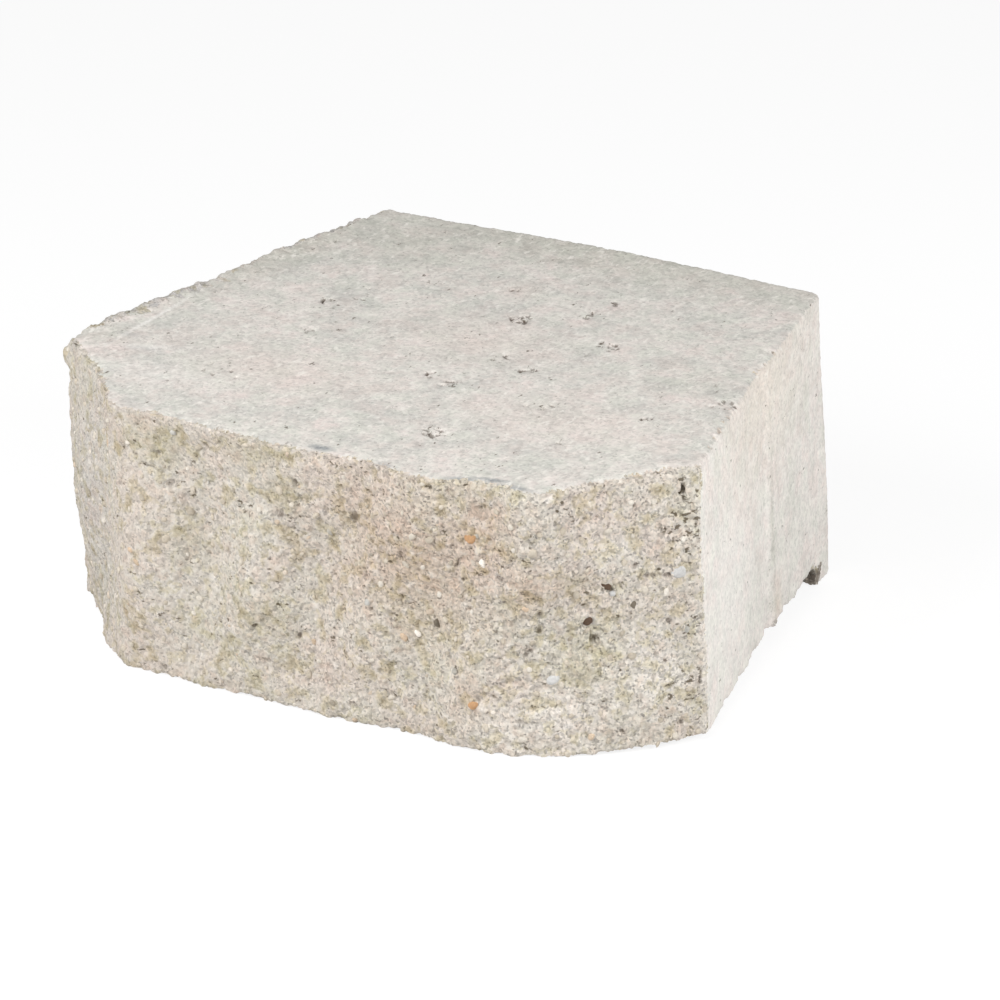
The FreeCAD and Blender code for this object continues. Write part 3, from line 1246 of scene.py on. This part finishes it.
@dataclass
class Studio:
    """The pale floor, the soft light and the camera."""

    target: Place = (0.018133, -0.000742, 0.050659)
    azimuth: float = 32.121
    elevation: float = 21.797
    roll: float = -0.953
    distance: float = 2.8806
    lens_mm: float = 288.0
    ambient: float = 0.45
    floor_half: float = 30.0
    floor_glow: float = 0.82
    floor_grey: float = 0.8
    shadow_grey: float = 0.24
    lamp_target: Place = (0.0, 0.0, 0.05)
    sensor_mm: float = 36.0
    far: float = 100.0
    lamps: tuple[Lamp, ...] = (
        Lamp("softbox_right", 84.0, 28.0, 1.1, 0.5, 6.0),
        Lamp("softbox_left", -20.0, 38.0, 1.0, 0.6, 7.0),
    )

    def build(self) -> None:
        """Sets up the floor, the light and the camera."""
        self.lay_floor()
        self.hang_lamps()
        self.light_world()
        self.set_camera()
        bpy.context.scene.view_settings.view_transform = "Standard"

    @staticmethod
    def direction(azimuth: float, elevation: float) -> Vector:
        """The way from the block to a place round it, with azimuth 0 in front and 90 to the right."""
        a, e = math.radians(azimuth), math.radians(elevation)
        return Vector((math.sin(a) * math.cos(e), -math.cos(a) * math.cos(e), math.sin(e)))

    @staticmethod
    def seen_rays(tree: Tree) -> Socket:
        """One for the rays that show the background: to the camera, in gloss and through glass."""
        paths = add_node(tree, "ShaderNodeLightPath").node.outputs
        seen = paths["Is Camera Ray"]
        for name in ("Is Glossy Ray", "Is Transmission Ray"):
            seen = add_node(tree, MATH, {0: seen, 1: paths[name]}, operation="MAXIMUM")
        return seen

    def lay_floor(self) -> None:
        """Lays a pale floor that shows the camera white and keeps a faint shadow."""
        mesh = bpy.data.meshes.new("studio_floor")
        half = self.floor_half
        corners = [(-half, -half, 0.0), (half, -half, 0.0), (half, half, 0.0), (-half, half, 0.0)]
        mesh.from_pydata(corners, [], [(0, 1, 2, 3)])
        floor = bpy.data.objects.new("studio_floor", mesh)
        bpy.context.scene.collection.objects.link(floor)
        material, tree = new_material("matt_white_paper")
        paper, faint = (
            add_node(tree, "ShaderNodeBsdfDiffuse", {"Color": (grey, grey, grey, 1.0)})
            for grey in (self.floor_grey, self.shadow_grey)
        )
        glow = add_node(tree, "ShaderNodeEmission", {"Strength": self.floor_glow})
        shown = add_node(tree, "ShaderNodeAddShader", {0: glow, 1: faint})
        seen = self.seen_rays(tree)
        mixed = add_node(tree, "ShaderNodeMixShader", {0: seen, 1: paper, 2: shown})
        add_node(tree, "ShaderNodeOutputMaterial", {"Surface": mixed})
        mesh.materials.append(material)

    def hang_lamps(self) -> None:
        """Hangs the soft lamps round the block, each turned to it."""
        centre = Vector(self.lamp_target)
        for lamp in self.lamps:
            light = bpy.data.lights.new(lamp.name, "AREA")
            light.shape = "DISK"
            light.size = lamp.width
            light.energy = lamp.watts
            holder = bpy.data.objects.new(lamp.name, light)
            way = self.direction(lamp.azimuth, lamp.elevation)
            holder.location = centre + way * lamp.distance
            holder.rotation_euler = way.to_track_quat("Z", "Y").to_euler()
            bpy.context.scene.collection.objects.link(holder)

    def light_world(self) -> None:
        """Fills the room with even light, and shows the camera white."""
        world = bpy.data.worlds.new("studio")
        world.use_nodes = True
        tree = world.node_tree
        tree.nodes.clear()
        seen = self.seen_rays(tree)
        room = add_node(tree, "ShaderNodeBackground", {"Strength": self.ambient})
        white = add_node(tree, "ShaderNodeBackground", {"Strength": 1.0})
        mixed = add_node(tree, "ShaderNodeMixShader", {0: seen, 1: room, 2: white})
        add_node(tree, "ShaderNodeOutputWorld", {"Surface": mixed})
        bpy.context.scene.world = world

    def set_camera(self) -> None:
        """Sets the camera at the photograph's angle."""
        data = bpy.data.cameras.new("camera")
        data.sensor_width = self.sensor_mm
        data.lens = self.lens_mm
        data.clip_end = self.far
        camera = bpy.data.objects.new("camera", data)
        back = self.direction(self.azimuth, self.elevation)
        azimuth, roll = math.radians(self.azimuth), math.radians(self.roll)
        level = Vector((math.cos(azimuth), math.sin(azimuth), 0.0))
        right = level * math.cos(roll) + back.cross(level) * math.sin(roll)
        up = back.cross(right)
        turn = Matrix((right, up, back)).transposed().to_4x4()
        camera.matrix_world = Matrix.Translation(Vector(self.target) + back * self.distance) @ turn
        bpy.context.scene.collection.objects.link(camera)
        bpy.context.scene.camera = camera


TOUCHES = (
    # The left arris is rounded away at its foot, and the flank swells along the top
    Touch((-131.0, 45.0, 4.0), (16.0, 40.0), -4.5, rim=Rim.SOFT),
    Touch((-102.0, 20.0, 0.0), (16.0, 18.0), 2.4, rim=Rim.SOFT),
    Touch((-120.0, 95.0, 102.6), (62.0, 8.0), 1.2, torn=0.45, rim=Rim.SOFT),
    Touch((-104.8, 156.0, 102.6), (72.0, 8.0), 1.8, torn=0.45, rim=Rim.SOFT),
    Touch((-133.2, 48.2, 95.5), (8.0, 8.5), 2.4, rim=Rim.SOFT),
    Touch((-131.0, 50.0, 102.0), (7.0, 7.0), -0.9, rim=Rim.SOFT),
    Touch((-133.0, 48.4, 101.8), (6.0, 5.0), -1.6, rim=Rim.SOFT),
    Touch((-107.0, 25.5, 102.2), (9.0, 3.4), -1.2, torn=1.0, rim=Rim.SOFT),
    Touch((-120.4, 37.3, 102.2), (8.0, 2.8), -0.9, torn=1.0, rim=Rim.SOFT),
    Touch((-92.0, 12.0, 102.2), (5.0, 2.6), -0.8, torn=1.0, rim=Rim.SOFT),
    # The back of the top stands a little high, and the foot of the front a little forward
    Touch((8.0, 203.0, 102.0), (90.0, 12.0), 1.5, rim=Rim.SOFT),
    Touch((0.0, 0.5, 3.0), (95.0, 12.0), 2.2, rim=Rim.SOFT),
    # The back right corner spreads a little towards its foot
    Touch((92.3, 202.3, 18.0), (14.0, 70.0), 1.5, rim=Rim.SOFT),
    # Chips along the right-hand top arris
    Touch((116.0, 99.5, 102.0), (6.0, 4.0), -0.7, rim=Rim.SOFT),
    Touch((108.5, 128.0, 102.0), (5.0, 3.0), -0.6, rim=Rim.SOFT),
    Touch((105.0, 148.0, 102.0), (4.0, 2.6), -0.5, rim=Rim.SOFT),
    Touch((124.0, 70.0, 102.0), (5.0, 3.0), -0.5, rim=Rim.SOFT),
    # A deep hole near the top of the right facet, and broken bits of its arris, darkened with painted shade
    # and some dirt
    Touch((128.2, 44.7, 94.5), (1.2, 2.6), -2.4, 10.0, 0.7),
    Touch((128.6, 44.5, 90.0), (1.2, 2.0), -1.2, 0.0, 0.4),
    Touch((131.3, 46.9, 22.3), (0.9, 3.0), -1.2, 0.0, 0.6),
    # Crumbs and bites along the foot of the right-hand side, most darkened with painted shade and some dirt
    Touch((102.9, 162.0, 0.4), (2.4, 1.8), 0.7, 0.0, 0.4),
    Touch((105.4, 151.0, 0.2), (3.0, 2.0), -0.9, 0.0, 0.2),
    Touch((108.6, 137.4, 0.4), (3.0, 2.2), 0.9, 0.0, 0.5),
    Touch((109.6, 130.0, 0.2), (4.0, 2.2), -1.0),
    Touch((114.6, 112.5, 0.2), (3.0, 2.0), -0.8, 0.0, 0.3),
    Touch((117.6, 102.0, 0.3), (4.0, 2.0), 0.5),
    Touch((120.4, 92.0, 0.2), (2.4, 2.0), -0.9, 0.0, 0.3),
    Touch((126.0, 73.0, 0.2), (4.0, 2.2), -0.8),
    # The end of the lip's front is rough, and darkened with painted shade for the shade under the block
    Touch((95.0, 187.0, -5.0), (5.0, 4.5), -0.8, 0.0, 0.8, 0.8),
)


ARRISES = (
    # The left-hand arris is ragged along its whole length, with a rough band inside its front half
    RaggedArris(-1.0, (54.0, 196.0), 34, (-0.2, 0.4), (1.4, 3.6), (-0.8, 0.5), (0.45, 0.9), 5),
    RaggedArris(-1.0, (58.0, 116.0), 30, (0.5, 5.0), (2.0, 4.6), (-0.3, 0.4), (0.7, 1.0), 6),
    RaggedArris(-1.0, (112.0, 198.0), 34, (0.0, 1.6), (1.3, 2.8), (-0.4, 0.3), (0.7, 1.0), 7),
    # The right-hand arris has a few crumbs broken out of it
    RaggedArris(1.0, (56.0, 150.0), 16, (-0.4, 2.4), (0.9, 2.0), (-0.7, -0.3), (0.4, 0.9), 8),
)

CROWDS = (
    PoreCrowd((34.8, 33.2), (5.0, 5.0), 9),
    PoreCrowd((7.2, 76.6), (3.0, 3.5), 5),
    PoreCrowd((16.8, 71.3), (3.5, 3.0), 4),
    PoreCrowd((20.2, 98.3), (2.5, 4.0), 5),
    PoreCrowd((34.9, 95.8), (3.0, 4.0), 5),
    PoreCrowd((9.2, 133.5), (5.0, 4.0), 7),
    PoreCrowd((-7.2, 155.2), (3.0, 5.0), 3),
    PoreCrowd((28.7, 147.8), (2.5, 3.0), 4),
    PoreCrowd((48.9, 124.8), (4.0, 4.5), 6),
    PoreCrowd((-62.7, 116.1), (5.0, 3.0), 5),
    PoreCrowd((-54.4, 128.7), (5.0, 6.0), 3),
    PoreCrowd((-50.0, 92.0), (8.0, 6.0), 4),
    PoreCrowd((-64.0, 44.0), (10.0, 5.0), 4),
    PoreCrowd((56.6, 66.2), (9.0, 6.0), 4),
    PoreCrowd((95.2, 75.7), (3.0, 3.0), 2),
    PoreCrowd((78.4, 43.9), (2.0, 2.0), 1),
    PoreCrowd((114.0, 98.0), (5.0, 7.0), 6),
)


# Pockets and slits in the split face, darkened inside with painted shade and some dirt
SPLIT_HOLES = tuple(
    Touch(place, reach, -1.0, turn, stain)
    for place, reach, turn, stain in (
        ((19.9, 1.3, 79.0), (3.6, 2.4), 16.0, 0.71),
        ((-95.3, 16.1, 86.2), (2.2, 1.6), 80.0, 0.55),
        ((-102.0, 22.3, 87.9), (1.8, 1.5), 30.0, 0.45),
        ((-71.8, 1.2, 85.0), (1.8, 1.2), -40.0, 0.55),
        ((-62.5, 2.1, 87.3), (1.6, 1.6), 0.0, 0.45),
        ((-109.9, 24.4, 52.6), (2.2, 1.6), 60.0, 0.65),
        ((-115.2, 28.5, 59.8), (1.8, 1.5), 0.0, 0.45),
        ((-96.9, 16.8, 38.0), (1.8, 2.4), 0.0, 0.5),
        ((-58.1, 1.9, 75.8), (1.5, 1.5), 0.0, 0.4),
        ((-60.7, 1.8, 80.0), (1.4, 1.4), 0.0, 0.4),
        ((-41.5, 1.2, 94.0), (1.8, 1.2), -50.0, 0.55),
        ((-46.9, 2.9, 87.7), (1.4, 1.2), 0.0, 0.45),
        ((-5.4, 1.1, 27.9), (2.1, 1.3), 66.0, 0.68),
        ((-9.8, -0.2, 74.4), (2.3, 2.3), -54.0, 0.64),
        ((-67.3, 1.1, 81.7), (4.2, 0.8), -5.0, 0.52),
        ((40.6, -1.3, 70.1), (3.4, 1.9), 79.0, 0.46),
        ((127.3, 39.7, 6.7), (2.0, 1.2), -4.0, 0.70),
        ((87.8, 4.7, 39.6), (3.4, 1.1), 45.0, 0.65),
        ((79.6, 0.3, 68.4), (3.2, 1.3), 5.0, 0.60),
        ((125.0, 37.0, 21.7), (3.2, 1.1), 7.0, 0.61),
        ((92.3, 5.1, 54.9), (1.8, 1.3), 53.0, 0.67),
        ((125.0, 37.4, 63.3), (2.9, 1.1), -15.0, 0.56),
        ((24.6, 0.1, 59.0), (3.6, 1.2), 85.0, 0.51),
        ((-19.0, -1.2, 16.6), (2.7, 0.9), 8.0, 0.50),
        ((124.0, 35.7, 31.3), (1.4, 1.2), -70.0, 0.60),
        ((64.2, 1.1, 64.1), (1.4, 1.1), 22.0, 0.72),
        ((62.6, 0.9, 70.4), (2.7, 0.9), 61.0, 0.50),
        ((120.5, 32.8, 64.3), (2.3, 1.0), -3.0, 0.59),
        ((-21.6, -3.5, 30.3), (1.9, 0.9), 22.0, 0.66),
        ((107.0, 18.8, 41.3), (1.8, 0.9), -18.0, 0.54),
        ((-2.7, -0.9, 88.0), (1.6, 1.2), -27.0, 0.70),
        ((91.6, 5.8, 48.8), (2.1, 0.9), 86.0, 0.49),
        ((116.5, 31.1, 91.1), (1.2, 1.1), 53.0, 0.70),
        ((114.0, 22.4, 7.3), (1.7, 0.8), -51.0, 0.70),
        ((17.8, -0.2, 7.3), (1.7, 1.2), 18.0, 0.55),
        ((125.2, 37.4, 46.2), (1.4, 0.9), -18.0, 0.68),
        ((84.2, 2.8, 13.1), (2.5, 0.8), -21.0, 0.40),
        ((-64.7, 1.4, 3.4), (2.0, 1.0), 15.0, 0.61),
        ((117.2, 29.8, 69.0), (1.3, 0.9), 35.0, 0.64),
    )
)

# Open pores in the top, darkened inside with painted shade and some dirt
TOP_HOLES = tuple(
    Touch((*spot, BLOCK_HEIGHT), reach, -0.6, turn, stain)
    for spot, reach, turn, stain in (
        ((34.4, 30.6), (5.4, 0.9), -47.0, 0.81),
        ((31.5, 160.7), (3.2, 1.4), -65.0, 0.72),
        ((28.6, 148.7), (2.5, 1.4), -65.0, 0.59),
        ((101.9, 112.7), (2.7, 1.2), -70.0, 0.42),
        ((46.3, 117.3), (4.1, 1.1), -82.0, 0.33),
        ((-93.3, 162.0), (3.2, 1.3), -59.0, 0.24),
        ((-36.6, 78.2), (2.1, 1.3), -79.0, 0.32),
        ((115.9, 90.9), (2.7, 1.1), -44.0, 0.23),
        ((-48.3, 95.0), (3.4, 0.9), -60.0, 0.30),
        ((-65.0, 115.0), (2.5, 0.9), -47.0, 0.41),
        ((-70.3, 49.2), (2.1, 1.1), -71.0, 0.32),
        ((-7.9, 156.9), (3.1, 0.9), -50.0, 0.26),
        ((-94.5, 60.7), (2.0, 1.2), -58.0, 0.28),
        ((-82.5, 191.4), (3.4, 0.9), -65.0, 0.23),
        ((55.4, 64.7), (4.7, 0.6), -44.0, 0.23),
        ((61.3, 151.5), (1.8, 1.1), -57.0, 0.31),
        ((-92.7, 166.7), (2.9, 0.9), -61.0, 0.23),
        ((6.0, 130.3), (2.3, 0.8), -58.0, 0.32),
    )
)

# Open pores in the right-hand side, most of them along the seam of the mould, darkened with painted shade and
# some dirt
SIDE_HOLES = tuple(
    Touch(place, reach, -0.4, turn, stain)
    for place, reach, turn, stain in (
        ((108.7, 135.1, 6.9), (4.3, 2.5), -54.0, 0.25),
        ((108.7, 134.3, 20.7), (2.9, 1.8), 57.0, 0.23),
        ((107.1, 143.8, 68.5), (2.9, 1.8), -24.0, 0.23),
        ((98.6, 179.8, 88.9), (4.1, 1.0), -24.0, 0.32),
        ((108.2, 139.0, 40.4), (3.1, 1.6), -19.0, 0.17),
        ((119.7, 94.7, 74.8), (5.0, 2.0), -39.0, 0.15),
        ((95.6, 192.5, 44.7), (2.7, 2.0), -51.0, 0.18),
        ((95.8, 191.8, 68.0), (2.7, 1.4), -30.0, 0.21),
        ((112.3, 120.4, 65.5), (3.6, 1.0), -17.0, 0.17),
    )
)

SPLIT_TINTS = (
    # Reddish mix in the middle
    Mark((46.0, 0.0, 70.0), (52.0, 20.0, 44.0), Tint.CLAY, 0.7),
    Mark((74.0, 0.0, 84.0), (18.0, 14.0, 20.0), Tint.CLAY, 0.75),
    Mark((89.0, 1.5, 64.0), (14.0, 14.0, 14.0), Tint.CLAY, 0.7),
    Mark((67.0, -3.0, 20.0), (12.0, 12.0, 14.0), Tint.CLAY, 0.5),
    # Greenish mix along the top left and low on the left
    Mark((-8.0, 0.0, 83.0), (11.0, 12.0, 10.0), Tint.OLIVE, 0.8),
    Mark((-65.0, 2.0, 91.0), (22.0, 12.0, 11.0), Tint.OLIVE, 0.65),
    Mark((-20.0, 0.0, 97.0), (24.0, 12.0, 9.0), Tint.OLIVE, 0.6),
    Mark((-51.0, 3.0, 55.0), (14.0, 12.0, 12.0), Tint.OLIVE, 0.4),
    Mark((-19.0, -3.0, 33.0), (17.0, 12.0, 11.0), Tint.OLIVE, 0.5),
    Mark((103.0, 16.0, 30.0), (7.0, 12.0, 7.0), Tint.OLIVE, 0.6),
    Mark((103.0, 14.0, 66.0), (7.0, 12.0, 6.0), Tint.OLIVE, 0.7),
    # Pale mix low on the right and on the left
    Mark((96.0, 10.0, 16.0), (22.0, 18.0, 15.0), Tint.PALE, 0.9),
    Mark((121.0, 32.0, 26.0), (16.0, 20.0, 22.0), Tint.PALE, 1.0),
    Mark((-62.0, 1.0, 32.0), (22.0, 12.0, 22.0), Tint.PALE, 0.5),
    Mark((112.0, 22.0, 76.0), (12.0, 16.0, 14.0), Tint.PALE, 0.7),
    Mark((78.0, 0.0, 12.0), (18.0, 12.0, 12.0), Tint.PALE, 0.7),
    # Grey mix on the left facet and along the left-hand top arris
    Mark((-108.0, 26.0, 55.0), (24.0, 24.0, 60.0), Tint.GREY, 0.55),
    Mark((-118.0, 90.0, 102.0), (12.0, 70.0, 8.0), Tint.GREY, 1.0, -16.0),
    Mark((-100.0, 170.0, 102.0), (10.0, 70.0, 8.0), Tint.GREY, 1.0, -13.0),
    # The right-hand arris is painted white, as pale flakes and as a painted highlight
    Mark((132.5, 48.2, 48.0), (3.4, 3.4, 70.0), Tint.PALE, 1.0),
)

# Places where the split's pores and slits, painted dark as the shade in them, crowd
SPLIT_PITS = (
    Mark((128.5, 43.5, 84.0), (8.0, 9.0, 26.0)),
    Mark((129.5, 44.5, 50.0), (4.0, 5.0, 26.0), strength=0.7),
    Mark((129.5, 44.5, 16.0), (5.0, 6.0, 20.0), strength=0.8),
    Mark((80.0, 0.0, 70.0), (18.0, 10.0, 8.0), strength=0.6),
    Mark((-8.0, 0.0, 80.0), (14.0, 10.0, 14.0), strength=0.6),
    Mark((-98.0, 18.0, 88.0), (14.0, 14.0, 12.0), strength=0.5),
)

# Places where the top's pores, painted dark as the shade in them, crowd
TOP_PORES = tuple(
    Mark((*spot, BLOCK_HEIGHT), (*half, 6.0), strength=strength)
    for spot, half, strength in (
        ((34.9, 33.8), (9.0, 7.0), 1.0),
        ((6.7, 77.4), (5.0, 4.4), 1.0),
        ((16.8, 71.3), (5.6, 4.4), 1.0),
        ((20.2, 98.3), (6.4, 5.0), 1.0),
        ((34.8, 96.4), (5.0, 4.4), 1.0),
        ((7.6, 133.1), (6.4, 5.0), 1.0),
        ((28.6, 148.7), (5.0, 4.4), 1.0),
        ((31.8, 160.8), (5.6, 4.4), 1.0),
        ((47.9, 126.3), (5.0, 4.4), 1.0),
        ((95.6, 74.9), (5.6, 5.0), 1.0),
        ((115.0, 99.5), (7.0, 7.0), 0.8),
        ((107.0, 130.0), (6.0, 8.0), 0.7),
    )
) + (
    # The rough band along the left edge
    Mark((-121.0, 78.0, 103.0), (6.0, 44.0, 10.0), strength=0.85, turn=-16.0),
    Mark((-103.0, 140.0, 103.0), (4.0, 60.0, 10.0), strength=0.6, turn=-13.0),
)

TOP_TINTS = (
    # Lime bloom at the left, with a crease of it along the left edge
    Mark((-112.2, 78.0, 102.0), (1.6, 42.0, 6.0), Tint.CHALK, 0.8, -2.6),
    Mark((-97.0, 52.0, 102.0), (16.0, 4.0, 6.0), Tint.CHALK, 0.5, 20.0),
    Mark((-85.0, 32.0, 102.0), (26.0, 12.0, 6.0), Tint.CHALK, 0.3),
    # Thin cement smears at the front
    Mark((7.0, 3.2, 102.0), (7.0, 2.6, 6.0), Tint.SMEAR, 1.0),
    Mark((34.5, 0.6, 102.0), (5.0, 2.0, 6.0), Tint.SMEAR, 0.5),
    Mark((65.0, 2.6, 102.0), (8.0, 2.4, 6.0), Tint.SMEAR, 1.0, 16.0),
    Mark((75.0, 6.6, 102.0), (10.0, 2.2, 6.0), Tint.SMEAR, 1.0, 10.0),
    Mark((86.0, 4.4, 102.0), (12.0, 2.2, 6.0), Tint.SMEAR, 0.8),
    Mark((-97.0, 49.0, 102.0), (12.0, 3.0, 6.0), Tint.SMEAR, 0.3),
    Mark((-111.0, 58.0, 102.0), (10.0, 3.2, 6.0), Tint.SMEAR, 0.3),
    # Grey along the back, which makes the back of the top darker, and on the right
    Mark((0.0, 205.0, 102.0), (150.0, 34.0, 12.0), Tint.GREEN_GREY, 0.6),
    Mark((-104.0, 150.0, 102.0), (18.0, 90.0, 12.0), Tint.GREEN_GREY, 0.55, -13.0),
    Mark((91.0, 112.0, 102.0), (22.0, 18.0, 8.0), Tint.GREEN_GREY, 0.25),
    Mark((-122.5, 80.0, 102.5), (4.0, 46.0, 10.0), Tint.GREEN_GREY, 0.6, -16.0),
    Mark((-120.0, 54.0, 102.0), (12.0, 12.0, 8.0), Tint.GREEN_GREY, 0.3),
    Mark((-70.0, 180.0, 102.0), (45.0, 35.0, 12.0), Tint.GREEN_GREY, 0.4),
    # A pinkish cast over the middle
    Mark((5.0, 110.0, 102.0), (45.0, 28.0, 8.0), Tint.PINK, 0.45),
    Mark((-44.0, 55.0, 102.0), (50.0, 24.0, 8.0), Tint.PINK, 0.45),
    Mark((68.0, 61.0, 102.0), (50.0, 22.0, 8.0), Tint.PINK, 0.45),
    Mark((-6.0, 157.0, 102.0), (12.0, 12.0, 8.0), Tint.PINK, 0.5),
)

# Places where the side's pores, painted dark as the shade in them, crowd, most of them at the seam of the
# mould
SIDE_PORES = (
    Mark((107.9, 138.0, 71.0), (6.0, 3.0, 8.0), strength=0.8),
    Mark((108.4, 137.0, 48.5), (6.0, 3.0, 7.0), strength=0.8),
    Mark((108.7, 136.0, 25.7), (6.0, 3.0, 8.0), strength=0.8),
    Mark((108.7, 135.0, 6.8), (6.0, 3.0, 7.0), strength=0.8),
    Mark((98.6, 178.0, 91.0), (4.0, 3.0, 3.0)),
)

SIDE_TINTS = (
    # The side is warm along its top and chalky behind the split
    Mark((108.0, 130.0, 96.0), (40.0, 90.0, 50.0), Tint.WARM, 0.6),
    Mark((122.0, 82.0, 36.0), (20.0, 40.0, 50.0), Tint.CHALK, 0.4),
    # Painted shade: a grey line in the inside corner of the seam, and a greyer tail behind it where less
    # light falls; with a rusty patch at its foot
    Mark((108.0, 138.5, 36.0), (8.0, 3.6, 60.0), Tint.GREEN_GREY, 0.45),
    Mark((105.0, 150.0, 30.0), (10.0, 16.0, 44.0), Tint.GREEN_GREY, 0.12),
    Mark((107.0, 142.0, 6.0), (8.0, 7.0, 14.0), Tint.CLAY, 0.4),
)

BARE_STONES = (
    BareStone((68.2, 1.2, 80.5), (2.5, 1.9, 1.2), Stone.ORANGE, 10.0),
    BareStone((68.6, -2.9, 18.7), (1.9, 1.7, 1.1), Stone.ORANGE, 40.0),
    BareStone((38.2, 1.0, 36.8), (1.6, 2.0, 1.1), Stone.TAN, 20.0),
    BareStone((88.4, 2.5, 57.5), (1.4, 1.1, 0.9), Stone.TAN, 0.0),
    BareStone((-73.3, -3.5, 49.2), (1.6, 1.1, 0.9), Stone.TAN, 0.0),
    BareStone((104.8, 17.0, 50.3), (1.9, 1.8, 1.1), Stone.BROWN, 0.0),
    BareStone((110.1, 21.7, 62.5), (2.1, 1.3, 1.0), Stone.BROWN, -20.0),
    BareStone((51.2, 2.7, 45.0), (1.4, 2.3, 1.1), Stone.SLATE, 15.0),
    BareStone((128.2, 40.8, 63.8), (2.9, 2.5, 1.3), Stone.BLUE_GREY, 0.0),
    BareStone((94.7, 9.3, 28.8), (2.4, 1.8, 1.2), Stone.BLUE_GREY, 30.0),
    BareStone((72.4, 1.0, 72.3), (1.4, 1.8, 1.0), Stone.WHITE, 20.0),
    BareStone((43.3, 2.3, 38.9), (1.8, 1.1, 1.0), Stone.WHITE, -40.0),
    BareStone((111.5, 23.1, 59.5), (1.3, 1.0, 0.8), Stone.BLUE_GREY, 0.0),
    BareStone((116.8, 28.2, 54.3), (1.3, 1.5, 0.8), Stone.SLATE, 0.0),
)


def main() -> None:
    """Builds the block's skin and stones, then the studio."""
    logging.basicConfig(level=logging.INFO, format="%(name)s %(message)s")
    stance = Stance.from_record(frame["record"], BLOCK_DEPTH)
    # The pallet left the top smooth, streaked along the width; the mould drew its walls upwards
    top = SmoothFinish(
        "dry_cast_concrete_pallet_face", ("#cdcac4", "#d8d4cd", "#dfd8d2"), (0.75, 1.0, 1.0),
        TOP_PORES, TOP_TINTS,
    )
    moulded = SmoothFinish(
        "dry_cast_concrete_moulded", ("#dcd8d1", "#e6e1db", "#eae5de"), (1.0, 1.0, 0.8),
        SIDE_PORES, SIDE_TINTS, streak_mm=2.2, speck_depth=0.1, fleck_limit=0.68,
    )
    split = SplitFinish(SPLIT_TINTS, SPLIT_PITS)
    scattered = tuple(touch for group in ARRISES + CROWDS for touch in group.touches())
    skin = BlockSkin(
        stance, split.material(stance), top.material(stance), moulded.material(stance),
        TOUCHES + SPLIT_HOLES + TOP_HOLES + SIDE_HOLES + scattered,
    ).build()
    Stones(stance, PebbleFinish().material(), skin, BARE_STONES).build()
    Studio().build()


if __name__ == "__main__":
    main()
